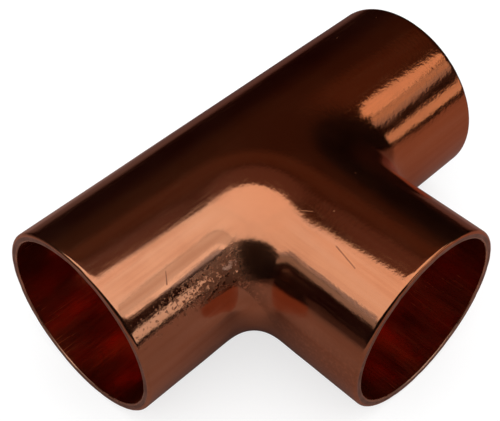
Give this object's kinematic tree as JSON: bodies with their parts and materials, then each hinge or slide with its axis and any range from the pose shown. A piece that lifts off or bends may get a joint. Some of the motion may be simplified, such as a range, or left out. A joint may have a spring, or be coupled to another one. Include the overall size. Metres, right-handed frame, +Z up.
{
  "type": "equal tee fitting",
  "caption": "Equal copper tee for soldered 22 mm tube: a straight run with a square branch, plain sockets with internal tube stops and softly rounded inner corners.",
  "frame": {"origin": "middle of the underside of the bounding box; the axes cross 7.7 mm behind it (+Y) and 12.1 mm above it", "axes": "+X along the straight run, -Y out of the branch, +Z up, square to both"},
  "size_m": [0.0564, 0.0396, 0.0242],
  "materials": {
    "copper": "polished"
  },
  "bodies": {
    "root": {"tee_body": "copper"}
  },
  "joints": []
}
